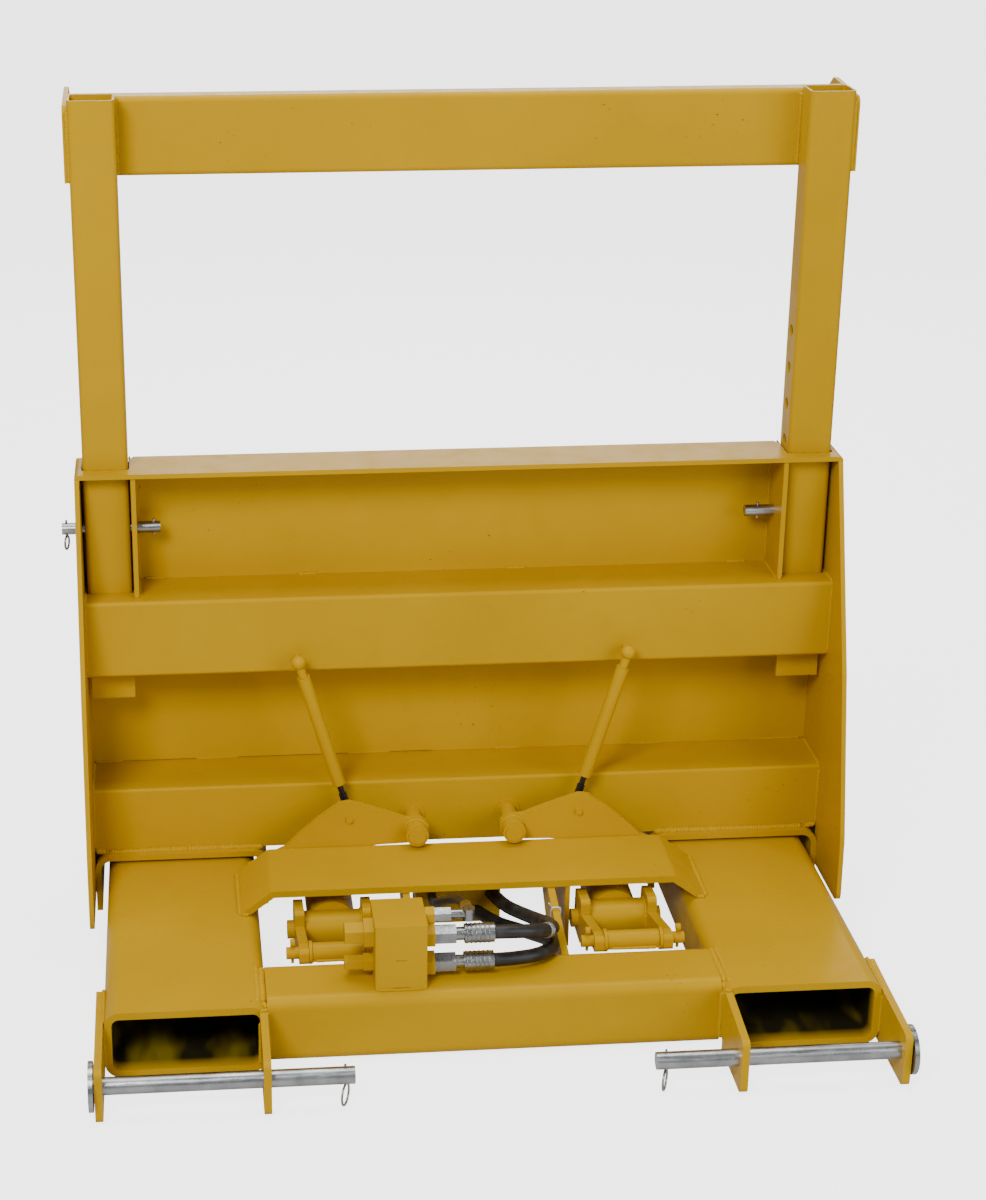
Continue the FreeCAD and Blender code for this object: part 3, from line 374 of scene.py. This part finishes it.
# ---------------------------------------------------------------- weld beads
cross_low, cross_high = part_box("cross_tube")
bridge_low, bridge_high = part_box("bridge_plate")
pocket_low, pocket_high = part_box("right_fork_pocket")
beam_low, beam_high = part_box("mid_beam")
channel_low, channel_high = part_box("lower_channel")
skin_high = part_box("upper_back_plate")[1]
post_low, post_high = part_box("right_post")
bar_low, bar_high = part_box("crossbar")
tine_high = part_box("right_tine")[1]
block_low, block_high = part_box("valve_block")
front_of_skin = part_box("mid_back_plate")[0][1]
pocket_top = pocket_high[2]
SKIN = 6.4 * MM
YOKE_CTR, YOKE_HALF = 0.1915, 0.0388
SIDE_IN = 0.5094                      # just inside the side plates
GUSSET_IN = 0.4360                    # the post gussets' inner faces
EAR_Y = -0.001                        # just in front of the pockets' mouths

base_runs = both_sides([
    # groove between cross tube and pocket, and down the tube's front
    ((0.2930, cross_low[1] + 0.010, 0.0850), (0.2930, cross_high[1] - 0.004, 0.0850), 6.2),
    ((0.2995, cross_low[1] + 0.004, 0.0868), (0.2995, cross_high[1] - 0.002, 0.0868), 4.2),
    ((0.2930, cross_low[1] + 0.010, 0.0850), (0.2900, cross_low[1] + 0.002, 0.0700), 5.6),
    ((cross_high[0], cross_low[1], 0.010), (cross_high[0], cross_low[1], cross_high[2] - 0.014), 3.4),
    # round the bridge plate's feet
    ((bridge_high[0] - 0.001, bridge_low[1] + 0.004, pocket_top + 0.001),
     (bridge_high[0] - 0.001, bridge_high[1] - 0.004, pocket_top + 0.001), 3.6),
    ((0.302, bridge_low[1], pocket_top + 0.001), (0.313, bridge_low[1], pocket_top + 0.001), 3.4),
    ((0.302, bridge_high[1], pocket_top + 0.001), (0.313, bridge_high[1], pocket_top + 0.001), 3.4),
    # heel ears on the pocket
    ((0.4920, 0.0, 0.016), (0.4920, 0.0, 0.070), 2.2),
    ((0.4925, 0.004, 0.0755), (0.4925, 0.078, 0.0800), 2.8),
    ((0.2979, EAR_Y, 0.012), (0.2979, EAR_Y, 0.070), 2.6),
    ((0.2884, EAR_Y, 0.088), (0.2979, EAR_Y, 0.086), 2.6),
])
welds("base_welds", "base", base_runs)
block_runs = [((block_low[0] + 0.004, block_low[1], block_low[2] + 0.001),
               (block_high[0] - 0.004, block_low[1], block_low[2] + 0.001), 1.8)]
STIFFENER_X = (-0.097, 0.098, 0.1075)
block_runs += [((x, 0.110, 0.030), (x, 0.110, 0.082), 2.4) for x in STIFFENER_X]
welds("block_welds", "base", block_runs)
bush_runs = []
BUSH_Y, BUSH_Z = 0.1045, 0.0935       # the seat line on the cross tube's far top edge
for centre in (-YOKE_CTR, YOKE_CTR):
    for x in (centre - 0.034, centre + 0.034):
        bush_runs.append(((x, 0.105, 0.0925), (x, 0.118, 0.0880), 2.4))
    bush_runs.append(((centre - 0.030, BUSH_Y, BUSH_Z), (centre + 0.030, BUSH_Y, BUSH_Z), 2.2))
welds("bush_welds", "base", bush_runs)
near_x, far_x, far_y = pocket_low[0] + 0.012, pocket_high[0] - 0.012, pocket_high[1]
hinge_runs = [((near_x, far_y, z), (far_x, far_y, z), 3.0) for z in (0.018, 0.0745)]
hinge_runs.append(((cross_high[0], 0.962, 0.012), (cross_high[0], 1.058, 0.012), 3.2))
welds("hinge_welds", "base", both_sides(hinge_runs))

beam_top, channel_top = beam_high[2], channel_high[2]
STITCH_X = (-0.415, -0.205, 0.085, 0.395)
frame_runs = [((x - 0.014, front_of_skin, beam_top), (x + 0.014, front_of_skin, beam_top), 3.0)
              for x in STITCH_X]
slit_y, slit_z = front_of_skin + 0.001, channel_top + 0.0007
SLIT_RUNS = ((-0.508, -0.468, 2.2), (-0.366, -0.306, 2.2), (-0.150, -0.090, 1.6), (-0.030, 0.508, 1.2),
             (0.060, 0.095, 2.8), (0.255, 0.300, 2.8), (0.430, 0.505, 2.4))
frame_runs += [((low, slit_y, slit_z), (high, slit_y, slit_z), radius) for low, high, radius in SLIT_RUNS]
foot_y, foot_z = channel_low[1] - 0.001, tine_high[2]
frame_runs += both_sides([
    # the channel's lower edge on the tine, and out to the side plate
    ((0.276, foot_y, foot_z), (0.494, foot_y, foot_z - 0.0005), 5.2),
    ((0.494, foot_y, foot_z - 0.0005), (0.509, foot_y, 0.107), 4.4),
    # the ends of the mid beam and the channel against the side plate
    ((SIDE_IN, beam_low[1] + 0.001, beam_low[2] + 0.006),
     (SIDE_IN, beam_low[1] + 0.001, beam_top - 0.006), 2.6),
    ((SIDE_IN, channel_low[1] + 0.001, channel_low[2] + 0.006),
     (SIDE_IN, channel_low[1] + 0.001, channel_top - 0.006), 2.8),
    ((SIDE_IN, channel_low[1] + 0.004, channel_top), (SIDE_IN, front_of_skin - 0.004, channel_top), 2.6),
    ((SIDE_IN, beam_low[1] + 0.006, beam_top), (SIDE_IN, 0.450, beam_top), 2.6),
    # the gusset beside the post
    ((GUSSET_IN, 0.436, beam_top), (GUSSET_IN, 0.502, beam_top), 2.6),
    ((GUSSET_IN, 0.4335, beam_top + 0.001), (0.4424, 0.4335, beam_top + 0.001), 3.0),
    ((GUSSET_IN, front_of_skin, beam_top + 0.004), (GUSSET_IN, front_of_skin, skin_high[2] - 0.008), 2.2),
    # the post guide, the top flange's end, and the tine on the torsion tube
    ((0.4470, 0.4445, beam_low[2]), (0.4990, 0.4445, beam_low[2]), 2.2),
    ((0.5096, 0.434, skin_high[2] - SKIN), (0.5096, 0.504, skin_high[2] - SKIN), 2.4),
    ((0.2720, 1.200, 0.062), (0.2720, 1.216, 0.075), 3.0),
])
welds("frame_welds", "tilt_frame", frame_runs)
inner_x, outer_x, bar_foot, bar_head = post_low[0], post_high[0], bar_low[2], bar_high[2]
hoop_runs = both_sides([
    ((inner_x, bar_low[1], bar_foot + 0.003), (inner_x, bar_low[1], bar_head - 0.003), 3.2),
    ((inner_x + 0.004, bar_low[1], bar_foot), (outer_x - 0.004, bar_low[1], bar_foot), 2.6),
    ((outer_x + 0.0005, 0.4588, bar_foot + 0.003), (outer_x + 0.0005, 0.4588, bar_head - 0.008), 2.8),
    ((outer_x, bar_high[1], bar_foot + 0.004), (outer_x, bar_high[1], bar_head - 0.006), 2.6),
])
welds("hoop_welds", "tilt_frame", hoop_runs)


def ring_bead(centre, axis, radius, thick):
    """A weld bead all the way round a bar."""
    centre = Vector(centre)
    axis = Vector(axis).normalized()
    side = axis.orthogonal().normalized()
    up = axis.cross(side)
    count = 120
    path = []
    for index in range(count):
        angle = 2 * math.pi * index / count
        path.append(centre + (side * math.cos(angle) + up * math.sin(angle)) * radius)
    pitch = 2 * math.pi * radius / 24

    def radius_at(distance):
        return thick * (0.8 + 0.25 * abs(math.sin(math.pi * distance / pitch)))
    return sweep(path, radius_at, closed=True)


HINGE_Y, HINGE_Z = 1.228, 0.046
TRUNNION_Y, TRUNNION_Z = 0.240, 0.066
BOSS_X, BOSS_Y, BOSS_Z = 0.067, 0.3605, 0.146
TUBE_RADIUS = 0.0302
ACROSS, AWAY = (1, 0, 0), (0, 1, 0)
ring_parts = []
for side in (-1, 1):
    ring_parts.append(ring_bead((side * 0.271, HINGE_Y, HINGE_Z), ACROSS, TUBE_RADIUS, 0.0028))
    for offset in (-0.0190, -0.0310, 0.0190, 0.0310):
        place = (side * YOKE_CTR + offset, HINGE_Y, HINGE_Z)
        ring_parts.append(ring_bead(place, ACROSS, TUBE_RADIUS, 0.0022))
verts, faces = merge(ring_parts)
piece("torsion_tube_welds", verts, faces, "tilt_frame", weld_paint)
for name, side in (("left", -1), ("right", 1)):
    verts, faces = ring_bead((side * BOSS_X, BOSS_Y, BOSS_Z), AWAY, 0.0160, 0.0018)
    piece(f"{name}_boss_welds", verts, faces, f"{name}_latch", weld_paint)
    verts, faces = merge([
        ring_bead((side * YOKE_CTR + half, TRUNNION_Y, TRUNNION_Z), ACROSS, 0.0240, 0.0022)
        for half in (YOKE_HALF, -YOKE_HALF)
    ])
    piece(f"{name}_yoke_welds", verts, faces, f"{name}_cylinder", weld_paint)

# ---------------------------------------------------------------- small pieces
PORT_Y, PORTS_Z = 0.062, (0.149, 0.109)
CRIMPS, CRIMP_START, CRIMP_PITCH = 6, -0.033, 0.0056
crimps = []
for z in PORTS_Z:
    for index in range(CRIMPS):
        place = (CRIMP_START + index * CRIMP_PITCH, PORT_Y, z)
        crimps.append(ring_bead(place, ACROSS, 0.0124, 0.0009))
verts, faces = merge(crimps)
piece("ferrule_crimps", verts, faces, "base", zinc_plate)


def oval(centre, across, up, half_width, half_height, count=48):
    """Points of a rounded loop round a centre."""
    centre, across, up = Vector(centre), Vector(across), Vector(up)
    points = []
    for index in range(count):
        angle = 2 * math.pi * index / count
        wide, tall = math.cos(angle), math.sin(angle)
        squarish = 1.0 / max(abs(wide), abs(tall)) ** 0.55
        sideways = across * wide * half_width * squarish
        points.append(centre + sideways + up * tall * half_height * squarish)
    return points


tie = oval((0.10275, 0.196, 0.1000), (1, 0, 0), (0, -0.3, 1), 0.0062, 0.0085)
tail = [Vector((0.0975, 0.196, 0.107)).lerp(Vector((0.0920, 0.188, 0.118)), step / 6) for step in range(7)]
verts, faces = merge([sweep(tie, lambda _: 0.0012, 8, True), sweep(tail, lambda _: 0.0011, 8)])
piece("cable_tie", verts, faces, "base", tie_white)

clip_at = Vector((0.0745, 0.0900, 0.1330))
clip_way = Vector((25.0, 34.0, -16.0)).normalized()
bands = [ring_bead(clip_at + clip_way * shift * MM, clip_way, 0.0092, 0.0012)
         for shift in (-3.6, -1.8, 0.0, 1.8, 3.6)]
verts, faces = merge(bands)
piece("hose_clip", verts, faces, "base", zinc_plate)

edges = []
NOTCH_BACK, NOTCH_SIDE, NOTCH_FRONT = 0.5118, 0.4540, 0.4523
NOTCH_CHAMFER, NOTCH_ROOM = 0.003, 0.0015
for side in (-1, 1):
    inner = side * (post_low[0] - NOTCH_ROOM)
    outer = side * (post_high[0] + NOTCH_ROOM)
    top = skin_high[2] - 0.0012
    outline = [(inner, NOTCH_BACK), (inner, NOTCH_SIDE), (inner + side * NOTCH_CHAMFER, NOTCH_FRONT),
               (outer - side * NOTCH_CHAMFER, NOTCH_FRONT), (outer, NOTCH_SIDE), (outer, NOTCH_BACK)]
    corner = [Vector((x, y, top)) for x, y in outline]
    path = []
    for start, end in zip(corner, corner[1:]):
        steps = max(2, int((end - start).length / 0.004))
        path.extend(start.lerp(end, step / steps) for step in range(steps))
    path.append(corner[-1])
    edges.append(sweep(path, lambda d: 0.0009 + 0.0005 * abs(math.sin(d * 173)), 6))
verts, faces = merge(edges)
piece("notch_edges", verts, faces, "tilt_frame", rust)

# dark wedges that close the open corners between channel, tine and side plate: painted shade, black solids
# standing where there is only a shadowed gap
plugs = []
WEDGE = ((0.4990, 0.0995), (0.5092, 0.1022), (0.5092, 0.0900), (0.5065, 0.0880))
WEDGE_NEAR, WEDGE_FAR = 0.412, 0.440
WEDGE_FACES = [(0, 1, 2, 3), (7, 6, 5, 4), (0, 4, 5, 1), (1, 5, 6, 2), (2, 6, 7, 3), (3, 7, 4, 0)]
for side in (-1, 1):
    plugs.append(([Vector((side * x, y, z)) for y in (WEDGE_NEAR, WEDGE_FAR) for x, z in WEDGE],
                  WEDGE_FACES))
verts, faces = merge(plugs)
piece("corner_shade_wedges", verts, faces, "tilt_frame", shade_wedge_black, smooth=False)

# ---------------------------------------------------------------- stage, lights, camera
bpy.ops.mesh.primitive_plane_add(size=60.0, location=(0.0, 0.5, -0.001))
floor = bpy.context.object
floor.name = "floor"
floor_mat, floor_nodes, floor_links, floor_shader = new_material("pale_floor")
floor_shader.inputs["Base Color"].default_value = (0.55, 0.55, 0.55, 1.0)
floor_shader.inputs["Roughness"].default_value = 0.9
floor_shader.inputs["Emission Color"].default_value = (1.0, 1.0, 1.0, 1.0)
GLOW_ON_OBJECT, GLOW_TO_CAMERA = 0.08, 3.0
seen = floor_nodes.new("ShaderNodeLightPath")
glow = floor_nodes.new("ShaderNodeMapRange")
glow.inputs["To Min"].default_value = GLOW_ON_OBJECT
glow.inputs["To Max"].default_value = GLOW_TO_CAMERA
floor_links.new(seen.outputs["Is Camera Ray"], glow.inputs["Value"])
floor_links.new(glow.outputs["Result"], floor_shader.inputs["Emission Strength"])
floor.data.materials.append(floor_mat)


def area(name, place, target, size, power):
    """A soft rectangular light aimed at a point."""
    data = bpy.data.lights.new(name, "AREA")
    data.shape = "RECTANGLE"
    data.size, data.size_y = size
    data.energy = power
    lamp = bpy.data.objects.new(name, data)
    lamp.location = place
    lamp.rotation_euler = (Vector(target) - Vector(place)).to_track_quat("-Z", "Y").to_euler()
    bpy.context.scene.collection.objects.link(lamp)


MIDDLE = (0.0, 0.4, 0.4)
area("key", (-1.4, -2.2, 2.7), MIDDLE, (1.1, 1.1), 100)
area("fill", (2.4, -2.4, 1.6), MIDDLE, (2.0, 2.0), 48)
area("top", (0.0, 0.8, 3.6), (0.0, 0.5, 0.0), (2.6, 1.8), 72)
area("back", (0.4, 3.6, 2.2), (0.0, 0.5, 0.5), (2.5, 1.6), 40)
world = bpy.data.worlds.new("studio")
bpy.context.scene.world = world
world.use_nodes = True
world.node_tree.nodes["Background"].inputs["Color"].default_value = (1.0, 1.0, 1.0, 1.0)
world.node_tree.nodes["Background"].inputs["Strength"].default_value = 0.34

lens = bpy.data.cameras.new("camera")
lens.sensor_width = 36.0
lens.lens = 73.0
lens.shift_x = 0.0933
lens.clip_end = 50.0
camera = bpy.data.objects.new("camera", lens)
camera.location = (-0.3805, -2.6311, 1.6611)
camera.rotation_euler = Euler((math.radians(90 - 21.34), math.radians(-0.12), math.radians(-5.0)))
bpy.context.scene.collection.objects.link(camera)
bpy.context.scene.camera = camera
